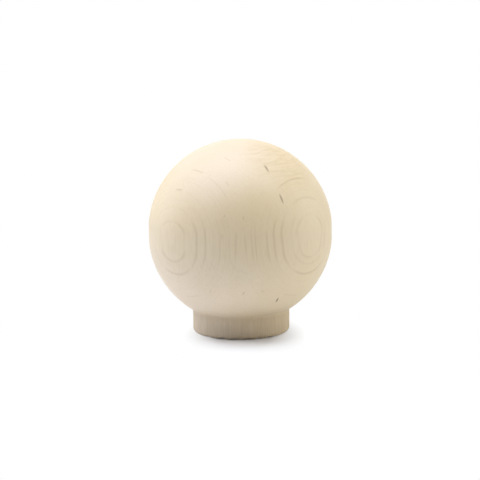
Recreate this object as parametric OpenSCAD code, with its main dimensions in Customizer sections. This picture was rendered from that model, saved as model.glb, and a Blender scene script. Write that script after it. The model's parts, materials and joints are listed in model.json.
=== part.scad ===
// Round cabinet knob, turned in one piece from a pale hardwood.
// A ball stands on a short straight foot, and a small hollow fillet softens the neck between them.
// The foot is drilled up its axis for the screw that comes through the door or drawer front.
// Millimetres, +Z up through the ball. The origin is the centre of the foot's face.

/* [Ball] */
// Diameter of the ball
ball_d = 38; // [30:0.5:50]
// Height of the straight band that the blank leaves round the ball's widest part
band_h = 4.8; // [1:0.2:8]

/* [Foot] */
// Diameter of the foot
foot_d = 19.9; // [15:0.1:25]
// Height of the foot's wall, from its face up to where it runs into the ball
foot_h = 4.8; // [3:0.1:10]
// Radius of the hollow fillet at the neck, between the foot's wall and the ball
neck_r = 0.8; // [0.2:0.1:2]
// Radius of the rounded edge of the foot's face
foot_edge_r = 1.0; // [0.2:0.1:1.5]

/* [Screw hole] */
// Diameter of the pilot hole that the screw cuts its thread in
hole_d = 3.5; // [2:0.1:5]
// Depth of the hole, from the foot's face to where the drill point's cone starts
hole_depth = 16; // [8:0.5:22]
// Angle across the cone that the drill point leaves
drill_point_angle = 118; // [90:1:140]
// Width of the chamfer at the hole's mouth
mouth_chamfer = 0.3; // [0.1:0.1:1]

/* [Hidden] */
$fn = 180;

// How far a cutting shape runs past the face that it cuts
overrun = 1;
// How deep the fillet's arc bites into the ball's, so that the two arcs cross and don't only touch
arc_bite = 0.0005;

ball_r = ball_d / 2;
foot_r = foot_d / 2;
hole_r = hole_d / 2;

// Radius of the straight band, where it cuts the ball's arc band_h apart
band_r = sqrt(pow(ball_r, 2) - pow(band_h / 2, 2));

// Height of the ball's centre, at which the foot's wall meets the ball's arc at foot_h
ball_z = foot_h + sqrt(pow(ball_r, 2) - pow(foot_r, 2));

// Centre of the neck's fillet, neck_r clear of the foot's wall and of the ball's arc
neck_x = foot_r + neck_r;
neck_z = ball_z - sqrt(pow(ball_r + neck_r - arc_bite, 2) - pow(neck_x, 2));

drill_point_h = hole_r / tan(drill_point_angle / 2);

// Half section of the ball: an arc, flattened by the straight band
module ball_profile() {
    intersection() {
        translate([0, ball_z])
            circle(r = ball_r);
        translate([0, ball_z - ball_r - overrun])
            square([band_r, 2 * (ball_r + overrun)]);
    }
}

// Waste outside the rounded edge of the foot's face
module foot_edge_waste() {
    difference() {
        translate([foot_r - foot_edge_r, -overrun])
            square([foot_edge_r + overrun, foot_edge_r + overrun]);
        translate([foot_r - foot_edge_r, foot_edge_r])
            circle(r = foot_edge_r);
    }
}

// Half section of the foot: its wall runs up into the ball
module foot_profile() {
    difference() {
        square([foot_r, ball_z]);
        foot_edge_waste();
    }
}

// Half section of the neck: the triangle between the axis and the centres of both arcs,
// hollowed by the fillet's arc
module neck_profile() {
    difference() {
        polygon([[0, neck_z], [neck_x, neck_z], [0, ball_z]]);
        translate([neck_x, neck_z])
            circle(r = neck_r);
    }
}

// Body as it leaves the lathe
module turned_body() {
    rotate_extrude()
        union() {
            ball_profile();
            foot_profile();
            neck_profile();
        }
}

// Blind pilot hole: chamfered mouth, straight wall and the drill point's cone
module screw_hole() {
    translate([0, 0, -overrun])
        cylinder(r1 = hole_r + mouth_chamfer + overrun, r2 = hole_r, h = mouth_chamfer + overrun);
    translate([0, 0, -overrun])
        cylinder(r = hole_r, h = hole_depth + overrun);
    translate([0, 0, hole_depth])
        cylinder(r1 = hole_r, r2 = 0, h = drill_point_h);
}

module knob() {
    color("#dccdb2")
        difference() {
            turned_body();
            screw_hole();
        }
}

knob();
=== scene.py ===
"""Turned wooden cabinet knob: a ball on a short foot, in raw birch, with its studio stage.

The body is drawn as half of its outline and spun round its axis, as a lathe would turn it.
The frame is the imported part's: +Z up through the ball, and the origin at the centre of the foot's
face. Lengths are metres, and the wood's pattern is drawn in millimetres from the ball's centre.
"""

import json
import math

import bpy
from mathutils import Matrix, Vector


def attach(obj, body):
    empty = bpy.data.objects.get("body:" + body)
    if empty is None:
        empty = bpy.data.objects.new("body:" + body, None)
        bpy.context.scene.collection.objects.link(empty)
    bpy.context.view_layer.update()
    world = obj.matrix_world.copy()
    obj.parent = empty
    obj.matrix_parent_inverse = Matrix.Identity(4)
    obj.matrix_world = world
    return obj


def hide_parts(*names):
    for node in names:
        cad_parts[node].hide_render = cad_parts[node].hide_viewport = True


bl_info = {
    "name": "Turned Wooden Knob",
    "version": (1, 0, 0),
    "blender": (4, 5, 0),
    "location": "3D View > Sidebar > Knob",
    "description": "Turns a ball knob in raw birch and sets it on a pale studio floor",
    "category": "Add Mesh",
}

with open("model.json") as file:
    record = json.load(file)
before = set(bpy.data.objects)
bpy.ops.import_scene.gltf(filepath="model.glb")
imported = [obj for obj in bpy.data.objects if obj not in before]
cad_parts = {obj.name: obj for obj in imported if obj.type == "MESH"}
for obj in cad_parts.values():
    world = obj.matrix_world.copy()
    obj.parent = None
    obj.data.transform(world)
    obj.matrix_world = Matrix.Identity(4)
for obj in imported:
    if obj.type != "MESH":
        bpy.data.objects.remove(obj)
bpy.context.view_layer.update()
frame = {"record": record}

MM = 0.001
NODE = "knob"
BODY = "root"

MOUNTS = {mount["name"]: mount for mount in frame["record"]["mounts"]}
HOLE_RADIUS = MOUNTS["screw_hole"]["dims"]["r_mm"] * MM


def linear(hex_colour, alpha=1.0):
    """Linear RGBA of an sRGB hex colour such as "#DCCDB2"."""
    digits = hex_colour.lstrip("#")
    channels = [int(digits[i:i + 2], 16) / 255 for i in (0, 2, 4)]
    return [c / 12.92 if c <= 0.04045 else ((c + 0.055) / 1.055) ** 2.4 for c in channels] + [alpha]


class KnobSizes(bpy.types.PropertyGroup):
    """Sizes of the turned body."""

    ball_diameter: bpy.props.FloatProperty(
        name="Ball diameter", description="Diameter of the ball",
        default=38 * MM, unit="LENGTH")
    band_height: bpy.props.FloatProperty(
        name="Band height", description="Height of the straight band round the ball's widest part",
        default=4.8 * MM, unit="LENGTH")
    foot_diameter: bpy.props.FloatProperty(
        name="Foot diameter", description="Diameter of the foot",
        default=19.9 * MM, unit="LENGTH")
    foot_height: bpy.props.FloatProperty(
        name="Foot height", description="Height of the foot's wall, up to where it meets the ball",
        default=4.8 * MM, unit="LENGTH")
    neck_radius: bpy.props.FloatProperty(
        name="Neck radius", description="Radius of the hollow fillet between the foot and the ball",
        default=0.8 * MM, unit="LENGTH")
    edge_radius: bpy.props.FloatProperty(
        name="Edge radius", description="Radius of the rounded edge of the foot's face",
        default=1.0 * MM, unit="LENGTH")
    hole_depth: bpy.props.FloatProperty(
        name="Hole depth", description="Depth of the pilot hole's straight wall",
        default=16 * MM, unit="LENGTH")
    mouth_chamfer: bpy.props.FloatProperty(
        name="Mouth chamfer", description="Width of the chamfer at the hole's mouth",
        default=0.3 * MM, unit="LENGTH")
    drill_angle: bpy.props.FloatProperty(
        name="Drill angle", description="Angle across the cone that the drill point leaves",
        default=math.radians(118), unit="ROTATION")
    tear_out: bpy.props.FloatProperty(
        name="Tear-out", description="How far the fibres on the foot's wall stand up or are torn out",
        default=0.03 * MM, unit="LENGTH")


def neck_drop(sizes):
    """How far below the ball's centre the foot's wall meets the ball, at the neck."""
    return math.sqrt((sizes.ball_diameter / 2) ** 2 - (sizes.foot_diameter / 2) ** 2)


def ball_centre(sizes):
    """Centre of the ball."""
    return Vector((0, 0, sizes.foot_height + neck_drop(sizes)))


def direction(azimuth, height):
    """Unit vector at so many degrees from the front towards +X and so many degrees up."""
    side, up = math.radians(azimuth), math.radians(height)
    return Vector((math.sin(side) * math.cos(up), -math.cos(side) * math.cos(up), math.sin(up)))


def deselect_all():
    """Leave edit mode and deselect every object."""
    if bpy.context.object and bpy.context.object.mode != "OBJECT":
        bpy.ops.object.mode_set(mode="OBJECT")
    bpy.ops.object.select_all(action="DESELECT")


def select_vertices(piece, wanted):
    """In edit mode, select the vertices whose place passes the test, and no others."""
    bpy.ops.mesh.select_mode(type="VERT")
    bpy.ops.mesh.select_all(action="DESELECT")
    bpy.ops.object.mode_set(mode="OBJECT")
    for vertex in piece.data.vertices:
        vertex.select = wanted(vertex.co)
    bpy.ops.object.mode_set(mode="EDIT")


# Places nearer than the first are the same place, and a corner's vertex lies within the second
SAME_PLACE = 0.001 * MM
CORNER_REACH = 0.02 * MM


def near(a, b, reach=SAME_PLACE):
    """Whether two places are less than the reach apart."""
    return (Vector(a) - Vector(b)).length < reach


def extrude_to(piece, start, stop):
    """Draw one straight line of the outline from its end at start to stop."""
    select_vertices(piece, lambda co: near(co, start))
    move = Vector(stop) - Vector(start)
    bpy.ops.mesh.extrude_vertices_move(TRANSFORM_OT_translate={"value": move})


def round_corner(piece, corner, radius, turn, segments):
    """Round the outline's corner, whose two lines turn by the given angle, to an arc."""
    select_vertices(piece, lambda co: near(co, corner, CORNER_REACH))
    bpy.ops.mesh.bevel(offset=radius * math.tan(turn / 2), segments=segments, affect="VERTICES")


# How finely the round stretches are drawn: points round the whole ball, steps round the axis, and
# segments in the arcs of the neck and of the foot's edge
BALL_POINTS = 256
SPIN_STEPS = 384
NECK_SEGMENTS = 6
EDGE_SEGMENTS = 8

# How near to a cutting plane a vertex counts as lying in it
CUT_SLACK = 0.0001 * MM

# Faces that meet at less than this are shaded as one smooth surface
SMOOTH_ANGLE = math.radians(25)

# How much the sanding softens the band's edges
SANDING_STRENGTH = 0.5
SANDING_PASSES = 8


def draw_outline(sizes):
    """Half of the knob's outline in the XZ plane, from the top of the ball to the hole's end."""
    ball_r = sizes.ball_diameter / 2
    ball_z = sizes.foot_height + neck_drop(sizes)
    band_r = math.sqrt(ball_r ** 2 - (sizes.band_height / 2) ** 2)
    mouth_r = HOLE_RADIUS + sizes.mouth_chamfer
    tip_z = sizes.hole_depth + HOLE_RADIUS / math.tan(sizes.drill_angle / 2)

    deselect_all()
    bpy.ops.mesh.primitive_circle_add(
        vertices=BALL_POINTS, radius=ball_r, location=(0, 0, ball_z),
        rotation=(math.pi / 2, 0, 0))
    piece = bpy.context.object
    bpy.ops.object.transform_apply(location=True, rotation=True, scale=True)
    bpy.ops.object.mode_set(mode="EDIT")

    # The ball's arc: the half right of the axis, above the foot
    for place, normal in (((0, 0, 0), (1, 0, 0)), ((0, 0, sizes.foot_height), (0, 0, 1))):
        bpy.ops.mesh.select_all(action="SELECT")
        bpy.ops.mesh.bisect(
            plane_co=place, plane_no=normal, clear_inner=True, threshold=CUT_SLACK)

    # The straight band round the widest part
    for side in (-1, 1):
        bpy.ops.mesh.select_all(action="SELECT")
        bpy.ops.mesh.bisect(
            plane_co=(0, 0, ball_z + side * sizes.band_height / 2), plane_no=(0, 0, 1),
            threshold=CUT_SLACK)
    select_vertices(piece, lambda co: abs(co.z - ball_z) < sizes.band_height / 2)
    bpy.ops.transform.resize(value=(0, 1, 1), center_override=(band_r, 0, 0))

    # Sanding has softened the band's edges
    select_vertices(piece, lambda co: abs(co.z - ball_z) < sizes.band_height)
    bpy.ops.mesh.vertices_smooth(factor=SANDING_STRENGTH, repeat=SANDING_PASSES)

    # The foot's wall and face, then the hole's chamfer, wall and drill point. A point on the face
    # keeps the dents in the foot's edge from creasing all of it
    bpy.ops.object.mode_set(mode="OBJECT")
    end = min(piece.data.vertices, key=lambda vertex: vertex.co.z).co.copy()
    bpy.ops.object.mode_set(mode="EDIT")
    corners = [end, (end.x, 0, 0), (end.x - 2 * sizes.edge_radius, 0, 0), (mouth_r, 0, 0),
               (HOLE_RADIUS, 0, sizes.mouth_chamfer), (HOLE_RADIUS, 0, sizes.hole_depth),
               (0, 0, tip_z)]
    for start, stop in zip(corners, corners[1:]):
        extrude_to(piece, start, stop)
    return piece, end


# Small dents in the foot's lower edge: degrees from the front towards +X, reach and depth in mm
EDGE_DENTS = ((-24.5, 0.9, 0.5), (-9.0, 0.7, 0.22), (9.0, 0.7, 0.25), (22.0, 0.9, 0.3),
              (36.0, 0.8, 0.35), (-47.0, 0.8, 0.3), (84.0, 0.8, 0.35), (122.0, 0.9, 0.4),
              (171.0, 0.8, 0.3), (-148.0, 0.9, 0.5), (-96.0, 0.8, 0.3))

# Where a dent starts on the rounded edge, in edge radii in from the wall and up from the face, how
# near to it the mesh is taken hold of, and how much of the dent goes inwards and upwards
DENT_IN = 0.6
DENT_UP = 0.1
DENT_HOLD = 0.15 * MM
PUSH_IN = 0.4
PUSH_UP = 0.9

# The tear-out starts this far up the rounded edge, as a share of the edge's radius
TEAR_OUT_START = 0.25
TEAR_OUT_SEED = 4


def roughen_foot(piece, sizes):
    """Leave the foot as it came off the lathe: a wall with fine tear-out and a dented lower edge."""
    foot_r = sizes.foot_diameter / 2
    edge_r = sizes.edge_radius
    low, high = TEAR_OUT_START * edge_r, sizes.foot_height
    select_vertices(piece, lambda co: low < co.z < high and co.xy.length > foot_r - edge_r)
    bpy.ops.transform.vertex_random(
        offset=sizes.tear_out, uniform=0.0, normal=1.0, seed=TEAR_OUT_SEED)
    up = Vector((0, 0, 1))
    for azimuth, reach, depth in EDGE_DENTS:
        out = direction(azimuth, 0)
        place = (foot_r - DENT_IN * edge_r) * out + DENT_UP * edge_r * up
        select_vertices(piece, lambda co: near(co, place, DENT_HOLD))
        bpy.ops.transform.translate(
            value=depth * MM * (PUSH_UP * up - PUSH_IN * out), use_proportional_edit=True,
            proportional_edit_falloff="SHARP", proportional_size=reach * MM)


class KNOB_OT_turn_body(bpy.types.Operator):
    """Turn the knob's body: ball, neck, foot and pilot hole in one piece of wood"""

    bl_idname = "knob.turn_body"
    bl_label = "Turn Body"

    def execute(self, context):
        sizes = context.scene.knob_sizes
        piece, end = draw_outline(sizes)
        wall_turn = math.acos(sizes.foot_diameter / sizes.ball_diameter)
        round_corner(piece, end, sizes.neck_radius, wall_turn, NECK_SEGMENTS)
        round_corner(piece, (end.x, 0, 0), sizes.edge_radius, math.pi / 2, EDGE_SEGMENTS)
        bpy.ops.mesh.select_all(action="SELECT")
        bpy.ops.mesh.spin(
            steps=SPIN_STEPS, angle=2 * math.pi, center=(0, 0, 0), axis=(0, 0, 1))
        bpy.ops.mesh.select_all(action="SELECT")
        bpy.ops.mesh.remove_doubles(threshold=SAME_PLACE)
        bpy.ops.mesh.normals_make_consistent(inside=False)
        roughen_foot(piece, sizes)
        bpy.ops.object.mode_set(mode="OBJECT")
        bpy.ops.object.shade_smooth_by_angle(angle=SMOOTH_ANGLE)
        piece.name = "turned_knob"
        piece.data.materials.append(raw_birch(context.scene.wood_finish, sizes))
        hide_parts(NODE)
        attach(piece, BODY)
        return {"FINISHED"}


def add_node(tree, kind, inputs=None, output=0, **settings):
    """Add a node with its settings, give each input a value or a link, and return one output."""
    node = tree.nodes.new(kind)
    for name, value in settings.items():
        setattr(node, name, value)
    for key, value in (inputs or {}).items():
        if isinstance(value, bpy.types.NodeSocket):
            tree.links.new(value, node.inputs[key])
        else:
            node.inputs[key].default_value = value
    return node.outputs[output]


# The growth rings lie in flat-sided shells. Each row is a side that bulges towards the surface:
# its direction in degrees from the front towards +X and in degrees up, how far it is set back,
# and how softly it meets the sides before it, in millimetres
SHELL_SIDES = ((49.4, 2.6, 0.0, 0.0), (-47.4, 0.4, 0.4, 3.0), (174.0, 0.0, 1.1, 9.0))

# Where the rings' dark lines are, in millimetres out from the axis, and how dark each one is
RING_LINES = ((12.35, 0.4), (13.08, 0.5), (13.9, 0.6), (14.4, 0.6), (15.1, 0.5), (15.85, 0.7),
              (16.6, 0.7), (17.35, 0.8), (18.15, 0.9), (18.5, 1.0))

# A line is this wide in mm on its slow side and half as wide on the other. It sets in with this
# share of its darkness. The ramp of lines runs this far past the first and the last one, in mm
RING_LINE_WIDTH = 0.11
RING_ONSET = 0.12
RING_MARGIN = 0.5

# Short stretches where a ring's line is darker: the middle, in degrees from the front towards +X
# and degrees up from the ball's middle, half of the length in mm, and how dark
RING_ARCS = (
    (44.0, 39.4, 5.2, 0.75), (-41.0, 47.5, 2.2, 0.8), (-16.0, 37.0, 4.6, 0.38),
    (-50.0, 32.8, 1.2, 0.9), (-14.5, 59.0, 1.3, 0.7), (-9.5, 39.2, 0.9, 0.5),
    (39.0, 66.3, 2.4, 0.5), (48.0, 61.9, 1.9, 0.5), (49.0, 52.3, 2.4, 0.45),
    (-41.0, -37.0, 2.6, 0.4), (41.0, -36.9, 2.8, 0.4), (25.5, 0.0, 6.5, 0.65),
    (50.0, 26.6, 5.0, 0.45), (50.0, -21.4, 6.0, 0.7), (20.3, 2.0, 5.5, 0.7),
    (16.1, -1.0, 4.2, 0.55), (8.7, 0.0, 3.8, 0.55), (6.5, 0.0, 3.6, 0.45),
    (-2.1, 1.0, 3.4, 0.5), (-26.5, 0.0, 6.2, 0.55), (-46.0, -20.5, 5.0, 0.5),
    (-20.9, 0.0, 5.6, 0.5), (-12.2, -3.0, 3.0, 0.4), (98.0, 33.0, 2.4, 0.5),
    (-128.0, 41.9, 2.2, 0.7), (176.0, -24.0, 3.2, 0.6), (-160.0, 33.1, 2.4, 0.6))

# An arc's line ends this far from its middle and is full this near, in mm. Along it, the arc is
# full for this share of its half length
ARC_END = 0.17
ARC_FULL = 0.02
ARC_CORE = 0.45

# Pith flecks: degrees from the front towards +X, degrees up from the ball's middle, degrees of
# lean from the fibres, length and width in mm, and how dark each one is
FLECKS = (
    (26.3, 49.9, -7.0, 2.1, 0.6, 0.55), (29.7, 27.8, -8.0, 2.3, 0.5, 0.55),
    (30.0, -39.9, 0.0, 1.5, 0.5, 0.7), (2.0, 17.2, 10.0, 0.9, 0.45, 0.14),
    (-9.9, 18.3, 20.0, 0.8, 0.45, 0.12), (-11.3, 5.8, 0.0, 1.2, 0.4, 0.1),
    (1.9, -31.8, 25.0, 1.0, 0.45, 0.2), (-22.2, -31.0, 0.0, 0.8, 0.45, 0.12),
    (15.4, -31.0, 30.0, 0.9, 0.4, 0.12), (78.0, -22.0, 0.0, 1.6, 0.5, 0.5),
    (103.0, 34.0, -8.0, 2.2, 0.55, 0.6), (141.0, 8.0, 5.0, 1.3, 0.5, 0.5),
    (168.0, 44.0, 0.0, 2.4, 0.55, 0.6), (-152.0, -18.0, 6.0, 1.8, 0.5, 0.55),
    (-121.0, 25.0, -6.0, 1.1, 0.45, 0.5), (-84.0, -36.0, 0.0, 1.5, 0.5, 0.4))

# A fleck fades out at this many half lengths from its middle, and is full at this many
FLECK_END = 1.25
FLECK_FULL = 0.35

# Patterns that follow the fibres: how many millimetres a spot is across them and along them, and
# how much finer drawing it holds. Real fibres are a few hundredths of a millimetre, too fine to
# show, so they are drawn about ten times as coarse
FIBRES = {"across": 0.24, "along": 3.0, "detail": 3.0, "roughness": 0.6}
TORN_STREAKS = {"across": 0.3, "along": 4.0, "detail": 4.0, "roughness": 0.65}
CLOUDS = {"across": 4.5, "along": 9.0}
RING_PRESENCE = {"across": 3.5, "along": 3.5, "detail": 1.0}
CURLY_FIGURE = {"across": 2.6, "along": 0.36, "detail": 3.0}

# The fibres wave: how long the waves are in mm along each axis, and how much of the noise's swing
# about its middle they take, in mm
WAVE_LENGTHS = (6.0, 6.0, 14.0)
WAVE_SWING = 0.08
NOISE_MIDDLE = 0.5

# Round patches of the surface: the middle, in degrees from the front towards +X and degrees up,
# how far out the patch ends and where it is full, in mm, and its value outside and in the middle
# Painted highlight: a paler patch where the gloss of the lamps above falls at the top left of the ball
PAINTED_HIGHLIGHT_TOP = (-38.0, 63.0, 17.5, 4.5, 0.59, -0.4)
# Painted shade: the front of the ball, which faces away from the lamps, is drawn darker
PAINTED_SHADE_FRONT = (13.0, 12.0, 13.0, 2.0, 0.0, 0.2)
CURLY_SHOULDER = (50.0, 56.0, 9.5, 4.0, 0.0, 1.0)
# The foot is darker near the front, a little right of the middle and just below the neck
FOOT_FRONT_DARKENING = (23.0, -63.0, 8.0, 1.0, -0.1, 0.08)

# Painted sheen: the wood is drawn paler where the lamps' sheen falls and yellower away from it. How
# much yellower it gets from the middle to the ball's side and to its top, how much paler towards the
# upper right and the lower left, and how much of it comes in clouds, which are the wood's own uneven
# tone
SHEEN_DRIFT = Vector((0.3, 0.0, 0.35))
SHEEN_CROSS = -0.7
CLOUD_SHARE = 0.4

# Levels of a pattern at which a mark starts to show and is full
FIBRE_LEVELS = (0.45, 0.85)
CURL_LEVELS = (0.35, 0.65)
PRESENCE_LEVELS = (0.35, 0.65)

# Least and most that the curly figure shows, and that a ring line shows as it comes and goes
CURL_SHARES = (0.12, 1.0)
PRESENCE_SHARES = (0.1, 0.8)

# Ring lines are full up to the first height in mm from the ball's middle, fade up to the second,
# and keep this share beyond it
BAND_FADE = (2.5, 7.5)
OFF_BAND_SHARE = 0.4

# The foot's rough finish fades out from this far below the neck to this far above it, and the neck's
# painted shade reaches this far up and down, in mm
FOOT_FADE = 0.6
NECK_SHADE_FADE = 1.8

# Relief of the sanded wood, and of single fibres, as a share of the foot's
SANDED_RELIEF = 0.15
FIBRE_RELIEF = 0.15

# Index of refraction that is usual for wood fibres
WOOD_IOR = 1.55


def smooth_most(a, b, softness):
    """The greater of two numbers, raised a little where they are nearly the same."""
    overlap = max(softness - abs(a - b), 0.0)
    return max(a, b) + overlap ** 3 / (6 * softness ** 2)


def ring_level(place):
    """How far out a place, in millimetres from the ball's centre, lies in the tree's growth."""
    level = None
    for azimuth, height, setback, softness in SHELL_SIDES:
        out = place.dot(direction(azimuth, height)) - setback
        level = out if level is None else smooth_most(level, out, softness)
    return level


def ring_distance(tree, place):
    """How far out each point of the wood lies in the tree's growth, in millimetres."""
    distance = None
    for azimuth, height, setback, softness in SHELL_SIDES:
        out = add_node(tree, "ShaderNodeVectorMath", {0: place, 1: direction(azimuth, height)},
                       output="Value", operation="DOT_PRODUCT")
        out = add_node(tree, "ShaderNodeMath", {0: out, 1: setback}, operation="SUBTRACT")
        if distance:
            out = add_node(tree, "ShaderNodeMath", {0: distance, 1: out, 2: softness},
                           operation="SMOOTH_MAX")
        distance = out
    return distance


def ring_lines(tree, distance):
    """Dark lines of the growth rings, 0 to 1: each sets in slowly and ends at once."""
    low, high = RING_LINES[0][0] - RING_MARGIN, RING_LINES[-1][0] + RING_MARGIN
    share = add_node(tree, "ShaderNodeMapRange", {0: distance, 1: low, 2: high})
    ramp = add_node(tree, "ShaderNodeValToRGB", {0: share})
    stops = ramp.node.color_ramp.elements
    stops[0].color = stops[1].color = (0, 0, 0, 1)
    for place, dark in RING_LINES:
        line = ((place - RING_LINE_WIDTH, RING_ONSET * dark), (place, dark),
                (place + RING_LINE_WIDTH / 2, 0.0))
        for out, level in line:
            stop = stops.new((out - low) / (high - low))
            stop.color = (level, level, level, 1)
    return ramp


def round_patch(tree, place, radius, patch, fade="SMOOTHSTEP"):
    """Value that changes from the outside of a round patch of the surface to its middle."""
    azimuth, height, end, full, outside, inside = patch
    away = add_node(tree, "ShaderNodeVectorMath", {0: place, 1: radius * direction(azimuth, height)},
                    output="Value", operation="DISTANCE")
    return add_node(tree, "ShaderNodeMapRange", {0: away, 1: end, 2: full, 3: outside, 4: inside},
                    interpolation_type=fade)


def ring_arcs(tree, place, distance, radius):
    """Darker stretches of single ring lines, 0 to 1."""
    arcs = None
    for azimuth, height, reach, dark in RING_ARCS:
        level = ring_level(radius * direction(azimuth, height))
        off = add_node(tree, "ShaderNodeMath", {0: distance, 1: level}, operation="SUBTRACT")
        off = add_node(tree, "ShaderNodeMath", {0: off}, operation="ABSOLUTE")
        line = add_node(tree, "ShaderNodeMapRange", {0: off, 1: ARC_END, 2: ARC_FULL, 3: 0.0, 4: dark},
                        interpolation_type="SMOOTHSTEP")
        stretch = round_patch(tree, place, radius, (azimuth, height, reach, ARC_CORE * reach, 0.0, 1.0))
        arc = add_node(tree, "ShaderNodeMath", {0: line, 1: stretch}, operation="MULTIPLY")
        if arcs:
            arc = add_node(tree, "ShaderNodeMath", {0: arcs, 1: arc}, operation="MAXIMUM")
        arcs = arc
    return arcs


def pith_flecks(tree, place, radius):
    """Brown streaks that lie along the fibres, 0 to 1."""
    flecks = None
    for azimuth, height, lean, length, width, dark in FLECKS:
        turn = Matrix.Rotation(math.radians(azimuth), 3, "Z")
        turn = turn @ Matrix.Rotation(-math.radians(height), 3, "X")
        turn = turn @ Matrix.Rotation(math.radians(lean), 3, "Y")
        local = add_node(tree, "ShaderNodeMapping", {
            "Vector": place, "Location": radius * direction(azimuth, height),
            "Rotation": turn.to_euler(), "Scale": (width / 2, width / 2, length / 2)},
            vector_type="TEXTURE")
        away = add_node(tree, "ShaderNodeVectorMath", {0: local}, output="Value", operation="LENGTH")
        fleck = add_node(tree, "ShaderNodeMapRange", {
            0: away, 1: FLECK_END, 2: FLECK_FULL, 3: 0.0, 4: dark}, interpolation_type="SMOOTHSTEP")
        if flecks:
            fleck = add_node(tree, "ShaderNodeMath", {0: flecks, 1: fleck}, operation="MAXIMUM")
        flecks = fleck
    return flecks


def spots(tree, place, across, along, detail=2.0, roughness=0.5):
    """Noise whose spots are so many millimetres across the fibres and along them."""
    drawn = add_node(tree, "ShaderNodeVectorMath", {
        0: place, 1: (1 / across, 1 / across, 1 / along)}, operation="MULTIPLY")
    return add_node(tree, "ShaderNodeTexNoise", {
        "Vector": drawn, "Scale": 1.0, "Detail": detail, "Roughness": roughness})


def waved(tree, place):
    """Places moved a little, by a few hundredths of a millimetre, as waving fibres move the rings."""
    slow = add_node(tree, "ShaderNodeVectorMath", {
        0: place, 1: [1 / length for length in WAVE_LENGTHS]}, operation="MULTIPLY")
    wave = add_node(tree, "ShaderNodeTexNoise", {"Vector": slow, "Scale": 1.0, "Detail": 1.0},
                    output="Color")
    wave = add_node(tree, "ShaderNodeVectorMath", {0: wave, 1: 3 * (NOISE_MIDDLE,)},
                    operation="SUBTRACT")
    return add_node(tree, "ShaderNodeVectorMath", {0: wave, 1: 3 * (WAVE_SWING,), 2: place},
                    operation="MULTIPLY_ADD")


def ground_colour(tree, finish, place, height, radius):
    """Pale wood at the top left and the lower left, and yellower wood elsewhere: a painted highlight at
    the top left and painted sheen towards the lower left, over clouds of the wood's own tone.
    """
    side = add_node(tree, "ShaderNodeSeparateXYZ", {0: place}, output="X")
    # Painted sheen: paler towards the left and the bottom, yellower towards the right and the top
    tone_and_painted_light = add_node(tree, "ShaderNodeVectorMath", {0: place, 1: SHEEN_DRIFT / radius},
                     output="Value", operation="DOT_PRODUCT")
    cross = add_node(tree, "ShaderNodeMath", {0: side, 1: height}, operation="MULTIPLY")
    tone_and_painted_light = add_node(tree, "ShaderNodeMath", {0: cross, 1: SHEEN_CROSS / radius ** 2, 2: tone_and_painted_light},
                     operation="MULTIPLY_ADD")
    cloud = spots(tree, place, **CLOUDS)
    tone_and_painted_light = add_node(tree, "ShaderNodeMath", {0: cloud, 1: CLOUD_SHARE, 2: tone_and_painted_light},
                     operation="MULTIPLY_ADD")
    # Painted highlight: the wood is drawn paler at the top left
    painted_highlight = round_patch(tree, place, radius, PAINTED_HIGHLIGHT_TOP)
    tone_and_painted_light = add_node(tree, "ShaderNodeMath", {0: tone_and_painted_light, 1: painted_highlight}, operation="ADD", use_clamp=True)
    return add_node(tree, "ShaderNodeMix", {0: tone_and_painted_light, 6: finish.pale, 7: finish.warm},
                    output=2, data_type="RGBA")


def curl_share(tree, finish, place, radius):
    """Curly figure: level bands where the upper right cuts the fibres at a slant."""
    figure = spots(tree, place, **CURLY_FIGURE)
    figure = add_node(tree, "ShaderNodeMapRange", {
        0: figure, 1: CURL_LEVELS[0], 2: CURL_LEVELS[1],
        3: CURL_SHARES[0] * finish.curl_strength, 4: CURL_SHARES[1] * finish.curl_strength})
    shoulder = round_patch(tree, place, radius, CURLY_SHOULDER)
    return add_node(tree, "ShaderNodeMath", {0: shoulder, 1: figure}, operation="MULTIPLY")


def ring_share(tree, finish, place, height, radius):
    """Ring lines: they show best where the straight band cuts them cleanly, and come and go."""
    distance = ring_distance(tree, waved(tree, place))
    up = add_node(tree, "ShaderNodeMath", {0: height}, operation="ABSOLUTE")
    band = add_node(tree, "ShaderNodeMapRange", {
        0: up, 1: BAND_FADE[0], 2: BAND_FADE[1], 3: 1.0, 4: OFF_BAND_SHARE},
        interpolation_type="SMOOTHSTEP")
    presence = spots(tree, place, **RING_PRESENCE)
    share = add_node(tree, "ShaderNodeMapRange", {
        0: presence, 1: PRESENCE_LEVELS[0], 2: PRESENCE_LEVELS[1],
        3: PRESENCE_SHARES[0], 4: PRESENCE_SHARES[1]})
    share = add_node(tree, "ShaderNodeMath", {0: share, 1: band}, operation="MULTIPLY")
    lines = ring_lines(tree, distance)
    share = add_node(tree, "ShaderNodeMath", {0: lines, 1: share}, operation="MULTIPLY")
    arcs = ring_arcs(tree, place, distance, radius)
    share = add_node(tree, "ShaderNodeMath", {0: share, 1: arcs}, operation="MAXIMUM")
    return add_node(tree, "ShaderNodeMath", {0: share, 1: finish.ring_strength},
                    operation="MULTIPLY")


def foot_share(tree, finish, place, radius, streaks, foot):
    """The foot's torn streaks, which are darker near the front, a little right of the middle and just
    below the neck.
    """
    front_darkening = round_patch(tree, place, radius, FOOT_FRONT_DARKENING, fade="LINEAR")
    share = add_node(tree, "ShaderNodeMath", {0: streaks, 1: finish.foot_strength, 2: front_darkening},
                     operation="MULTIPLY_ADD")
    return add_node(tree, "ShaderNodeMath", {0: share, 1: foot}, operation="MULTIPLY")


def neck_painted_shade(tree, finish, height, neck):
    """Painted shade in the crease of the neck: the wood is drawn a little darker within a short reach
    above and below it.
    """
    away = add_node(tree, "ShaderNodeMath", {0: height, 1: neck}, operation="ADD")
    away = add_node(tree, "ShaderNodeMath", {0: away}, operation="ABSOLUTE")
    return add_node(tree, "ShaderNodeMapRange", {
        0: away, 1: NECK_SHADE_FADE, 2: 0.0, 3: 0.0, 4: finish.neck_shade_strength},
        interpolation_type="SMOOTHSTEP")


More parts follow.
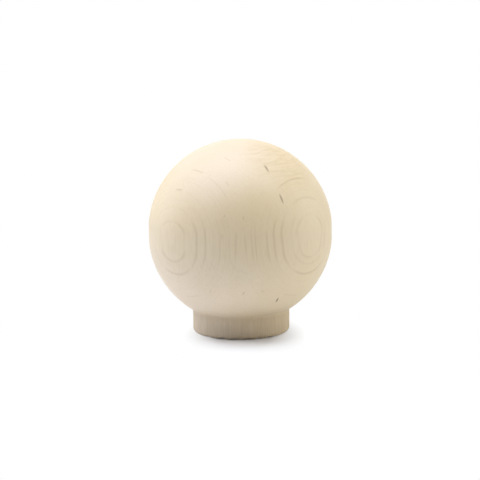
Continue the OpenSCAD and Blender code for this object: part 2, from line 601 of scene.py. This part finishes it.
def raw_birch(finish, sizes):
    """Raw birch, turned and sanded, with no finish on it.

    The pores are too fine to see, so the wood looks even: pale cream that turns yellower in places,
    with thin darker lines at the growth rings, faint streaks along the fibres and a few brown pith
    flecks. It has a soft, dry sheen. The foot isn't sanded, so it is rougher, streakier and darker.
    Its colour also holds painted light: a painted highlight at the top left, painted sheen towards
    the lower left, and painted shade over the front of the ball and in the neck.
    """
    material = bpy.data.materials.new("raw_birch_turned_and_sanded")
    material.use_nodes = True
    tree = material.node_tree
    shader = tree.nodes["Principled BSDF"]
    radius = sizes.ball_diameter / 2 / MM
    neck = neck_drop(sizes) / MM

    # Places are in millimetres from the ball's centre
    coordinates = add_node(tree, "ShaderNodeTexCoord", output="Object")
    place = add_node(tree, "ShaderNodeMapping", {
        "Vector": coordinates, "Location": -ball_centre(sizes) / MM,
        "Scale": (1 / MM, 1 / MM, 1 / MM)})
    height = add_node(tree, "ShaderNodeSeparateXYZ", {0: place}, output="Z")
    foot = add_node(tree, "ShaderNodeMapRange", {
        0: height, 1: FOOT_FADE - neck, 2: -FOOT_FADE - neck})
    fibres = spots(tree, place, **FIBRES)
    streaks = spots(tree, place, **TORN_STREAKS)

    # Each layer of the pattern lies over the ones before it
    single_fibres = add_node(tree, "ShaderNodeMapRange", {
        0: fibres, 1: FIBRE_LEVELS[0], 2: FIBRE_LEVELS[1], 3: 0.0, 4: finish.fibre_strength})
    layers = (
        (single_fibres, finish.fibre),
        # Painted shade over the front of the ball, in the fibre colour
        (round_patch(tree, place, radius, PAINTED_SHADE_FRONT), finish.fibre),
        (curl_share(tree, finish, place, radius), finish.fibre),
        (ring_share(tree, finish, place, height, radius), finish.ring),
        (foot_share(tree, finish, place, radius, streaks, foot), finish.ring),
        # Painted shade in the neck's crease, in the ring colour
        (neck_painted_shade(tree, finish, height, neck), finish.ring),
        (pith_flecks(tree, place, radius), finish.fleck))
    colour = ground_colour(tree, finish, place, height, radius)
    for share, shade in layers:
        colour = add_node(tree, "ShaderNodeMix", {0: share, 6: colour, 7: shade},
                          output=2, data_type="RGBA")
    tree.links.new(colour, shader.inputs["Base Color"])

    # Surface: fine fibres stand up a little, more so on the foot
    rough = add_node(tree, "ShaderNodeMapRange", {
        0: foot, 3: finish.roughness, 4: finish.foot_roughness})
    tree.links.new(rough, shader.inputs["Roughness"])
    shader.inputs["IOR"].default_value = WOOD_IOR
    relief = add_node(tree, "ShaderNodeMapRange", {0: foot, 3: SANDED_RELIEF, 4: 1.0})
    relief = add_node(tree, "ShaderNodeMath", {0: streaks, 1: relief}, operation="MULTIPLY")
    relief = add_node(tree, "ShaderNodeMath", {0: fibres, 1: FIBRE_RELIEF, 2: relief},
                      operation="MULTIPLY_ADD")
    bump = add_node(tree, "ShaderNodeBump", {
        "Strength": 1.0, "Distance": finish.relief, "Height": relief})
    tree.links.new(bump, shader.inputs["Normal"])
    return material


class WoodFinish(bpy.types.PropertyGroup):
    """Colours of the raw birch, and how strongly each part of its pattern shows."""

    pale: bpy.props.FloatVectorProperty(
        name="Pale", description="The palest wood", subtype="COLOR", size=4,
        default=linear("#EEDECB"), min=0.0, max=1.0)
    warm: bpy.props.FloatVectorProperty(
        name="Warm", description="The yellower wood", subtype="COLOR", size=4,
        default=linear("#E2D0AD"), min=0.0, max=1.0)
    # Also the colour of the painted shade over the front of the ball
    fibre: bpy.props.FloatVectorProperty(
        name="Fibre", description="Darker fibres", subtype="COLOR", size=4,
        default=linear("#CEB88B"), min=0.0, max=1.0)
    # Also the colour of the foot's streaks and of the neck's painted shade
    ring: bpy.props.FloatVectorProperty(
        name="Ring", description="Lines of the growth rings", subtype="COLOR", size=4,
        default=linear("#AE915F"), min=0.0, max=1.0)
    fleck: bpy.props.FloatVectorProperty(
        name="Fleck", description="Pith flecks", subtype="COLOR", size=4,
        default=linear("#6E4A20"), min=0.0, max=1.0)
    fibre_strength: bpy.props.FloatProperty(
        name="Fibre strength", description="Most of the fibre colour that single fibres take",
        default=0.35, min=0.0, max=1.0, subtype="FACTOR")
    curl_strength: bpy.props.FloatProperty(
        name="Curl strength", description="Most of the fibre colour that the curly figure takes",
        default=0.42, min=0.0, max=1.0, subtype="FACTOR")
    ring_strength: bpy.props.FloatProperty(
        name="Ring strength", description="Most of the ring colour that the ring lines take",
        default=0.36, min=0.0, max=1.0, subtype="FACTOR")
    foot_strength: bpy.props.FloatProperty(
        name="Foot strength", description="Most of the ring colour that the foot's streaks take",
        default=0.55, min=0.0, max=1.0, subtype="FACTOR")
    # How strongly the neck's painted shade shows
    neck_shade_strength: bpy.props.FloatProperty(
        name="Neck strength", description="Most of the ring colour that the neck takes",
        default=0.14, min=0.0, max=1.0, subtype="FACTOR")
    roughness: bpy.props.FloatProperty(
        name="Roughness", description="Roughness of the sanded wood",
        default=0.55, min=0.0, max=1.0, subtype="FACTOR")
    foot_roughness: bpy.props.FloatProperty(
        name="Foot roughness", description="Roughness of the foot, which isn't sanded",
        default=0.75, min=0.0, max=1.0, subtype="FACTOR")
    relief: bpy.props.FloatProperty(
        name="Relief", description="How far the foot's fibres stand up in the surface's fine relief",
        default=0.1 * MM, unit="LENGTH")


class KnobStage(bpy.types.PropertyGroup):
    """The floor, the lamps and the camera."""

    camera_distance: bpy.props.FloatProperty(
        name="Camera distance", description="From the ball's centre to the camera",
        default=0.55, unit="LENGTH")
    camera_height: bpy.props.FloatProperty(
        name="Camera height angle", description="How far the camera looks down on the ball",
        default=math.radians(9.5), unit="ROTATION")
    camera_roll: bpy.props.FloatProperty(
        name="Camera roll", description="Turn of the camera round its line of sight",
        default=math.radians(-0.66), unit="ROTATION")
    lens: bpy.props.FloatProperty(
        name="Lens", description="Focal length of the camera, in millimetres",
        default=200.0, unit="CAMERA")
    aim_drop: bpy.props.FloatProperty(
        name="Aim drop", description="How far below the ball's centre the camera aims",
        default=1.915 * MM, unit="LENGTH")
    aim_side: bpy.props.FloatProperty(
        name="Aim side", description="How far to the side of the ball's centre the camera aims",
        default=-0.08 * MM, unit="LENGTH")
    floor_colour: bpy.props.FloatVectorProperty(
        name="Floor colour", description="Colour of the floor", subtype="COLOR", size=4,
        default=linear("#F4F6FB"), min=0.0, max=1.0)
    floor_size: bpy.props.FloatProperty(
        name="Floor size", description="Side of the square floor", default=6.0, unit="LENGTH")
    room_light: bpy.props.FloatProperty(
        name="Room light", description="How much the white room lights the knob",
        default=0.05, min=0.0, max=1.0, subtype="FACTOR")


def add_camera(stage, centre):
    """Camera that looks down on the knob from the front."""
    tilt = stage.camera_height
    place = centre + stage.camera_distance * Vector((0, -math.cos(tilt), math.sin(tilt)))
    aim = centre + Vector((stage.aim_side, 0, -stage.aim_drop))
    turn = (aim - place).to_track_quat("-Z", "Y").to_matrix()
    turn = turn @ Matrix.Rotation(stage.camera_roll, 3, "Z")
    bpy.ops.object.camera_add(location=place, rotation=turn.to_euler())
    camera = bpy.context.object
    camera.name = "camera"
    camera.data.lens = stage.lens
    bpy.context.scene.camera = camera


# Softboxes: place of the middle, the way it faces, width and length, brightness of its face in watts
# for each square metre and steradian, and colour
SOFTBOXES = {
    "ceiling_left": ((-0.45, 0.0, 1.0), (0, 0, -1), (1.0, 1.0), 3.8, "#FCFDFF"),
    "ceiling_right": ((0.45, 0.0, 1.0), (0, 0, -1), (1.0, 1.0), 1.83, "#FFFFFF"),
    "left_wall": ((-0.9, 0.5, 0.25), (1, 0, 0), (0.7, 0.45), 3.8, "#F6FAFF"),
    "right_wall": ((0.9, 0.0, 0.25), (-1, 0, 0), (0.7, 0.45), 2.95, "#FCFDFF"),
}


def add_softbox(name, place, facing, size, brightness, colour):
    """Rectangular lamp that hangs level over the knob, or stands upright beside it."""
    turn = Vector(facing).to_track_quat("-Z", "Y")
    bpy.ops.object.light_add(type="AREA", location=place, rotation=turn.to_euler())
    lamp = bpy.context.object
    lamp.name = name
    lamp.data.shape = "RECTANGLE"
    lamp.data.size, lamp.data.size_y = size
    lamp.data.energy = brightness * math.pi * size[0] * size[1]
    lamp.data.color = linear(colour)[:3]


def seen_directly(tree):
    """1 for rays from the camera, in gloss or through glass, and 0 for light that scatters."""
    rays = add_node(tree, "ShaderNodeLightPath").node.outputs
    seen = add_node(tree, "ShaderNodeMath", {0: rays["Is Camera Ray"], 1: rays["Is Glossy Ray"]},
                    operation="MAXIMUM")
    return add_node(tree, "ShaderNodeMath", {0: seen, 1: rays["Is Transmission Ray"]},
                    operation="MAXIMUM")


def add_world(stage):
    """Dim white room; the camera and reflections see it as white."""
    world = bpy.data.worlds.new("white_room")
    bpy.context.scene.world = world
    world.use_nodes = True
    tree = world.node_tree
    background = tree.nodes["Background"]
    strength = add_node(tree, "ShaderNodeMapRange", {
        0: seen_directly(tree), 3: stage.room_light, 4: 1.0})
    background.inputs["Color"].default_value = (1, 1, 1, 1)
    tree.links.new(strength, background.inputs["Strength"])


# The floor shows its own paint, and the knob's shadow on it, in an oval pool round the foot: the
# pool's middle and its half width and half depth. The white round it sets in at the first share of
# the way out and is full at the second, and a little of it lies over the pool too
POOL_MIDDLE = (0.7 * MM, -5 * MM, 0)
POOL_REACH = (12.8 * MM, 25 * MM, 1)
POOL_FADE = (0.43, 0.97)
POOL_WHITE = 0.05


def floor_paint(stage):
    """Matt white paint, which scatters light evenly and has no shine.

    Away from the knob the camera sees it as plain white.
    """
    material = bpy.data.materials.new("matt_white_paint")
    material.use_nodes = True
    tree = material.node_tree
    shader = tree.nodes["Principled BSDF"]
    shader.inputs["Base Color"].default_value = stage.floor_colour
    shader.inputs["Roughness"].default_value = 1.0
    shader.inputs["Specular IOR Level"].default_value = 0.0
    coordinates = add_node(tree, "ShaderNodeTexCoord", output="Object")
    pool = add_node(tree, "ShaderNodeMapping", {
        "Vector": coordinates, "Location": POOL_MIDDLE, "Scale": POOL_REACH}, vector_type="TEXTURE")
    away = add_node(tree, "ShaderNodeVectorMath", {0: pool}, output="Value", operation="LENGTH")
    share = add_node(tree, "ShaderNodeMapRange", {
        0: away, 1: POOL_FADE[0], 2: POOL_FADE[1], 3: POOL_WHITE, 4: 1.0})
    share = add_node(tree, "ShaderNodeMath", {0: share, 1: seen_directly(tree)},
                     operation="MULTIPLY")
    white = add_node(tree, "ShaderNodeEmission", {"Color": (1, 1, 1, 1), "Strength": 1.0})
    blend = add_node(tree, "ShaderNodeMixShader", {0: share, 1: shader.outputs[0], 2: white})
    tree.links.new(blend, tree.nodes["Material Output"].inputs["Surface"])
    return material


class KNOB_OT_set_stage(bpy.types.Operator):
    """Set the pale floor, the lamps and the camera"""

    bl_idname = "knob.set_stage"
    bl_label = "Set Stage"

    def execute(self, context):
        stage = context.scene.knob_stage
        deselect_all()
        bpy.ops.mesh.primitive_plane_add(size=stage.floor_size)
        floor = bpy.context.object
        floor.name = "floor"
        floor.data.materials.append(floor_paint(stage))
        for name, values in SOFTBOXES.items():
            add_softbox(name, *values)
        add_world(stage)
        add_camera(stage, ball_centre(context.scene.knob_sizes))
        context.scene.view_settings.view_transform = "Standard"
        return {"FINISHED"}


class KNOB_PT_sidebar(bpy.types.Panel):
    """Sizes, colours and steps of the knob"""

    bl_idname = "KNOB_PT_sidebar"
    bl_label = "Turned Wooden Knob"
    bl_space_type = "VIEW_3D"
    bl_region_type = "UI"
    bl_category = "Knob"

    def draw(self, context):
        scene = context.scene
        steps = (("Body", (scene.knob_sizes, scene.wood_finish), KNOB_OT_turn_body.bl_idname),
                 ("Stage", (scene.knob_stage,), KNOB_OT_set_stage.bl_idname))
        for title, groups, step in steps:
            box = self.layout.box()
            box.label(text=title)
            for group in groups:
                for name in group.__annotations__:
                    box.prop(group, name)
            box.operator(step)


CLASSES = (KnobSizes, WoodFinish, KnobStage, KNOB_OT_turn_body, KNOB_OT_set_stage, KNOB_PT_sidebar)


def register():
    """Add the classes, and hang their settings on the scene."""
    for cls in CLASSES:
        bpy.utils.register_class(cls)
    bpy.types.Scene.knob_sizes = bpy.props.PointerProperty(type=KnobSizes)
    bpy.types.Scene.wood_finish = bpy.props.PointerProperty(type=WoodFinish)
    bpy.types.Scene.knob_stage = bpy.props.PointerProperty(type=KnobStage)


def unregister():
    """Take the settings and the classes away again."""
    del bpy.types.Scene.knob_stage
    del bpy.types.Scene.wood_finish
    del bpy.types.Scene.knob_sizes
    for cls in reversed(CLASSES):
        bpy.utils.unregister_class(cls)


def main():
    """Turn the knob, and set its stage."""
    register()
    bpy.ops.knob.turn_body()
    bpy.ops.knob.set_stage()


if __name__ == "__main__":
    main()
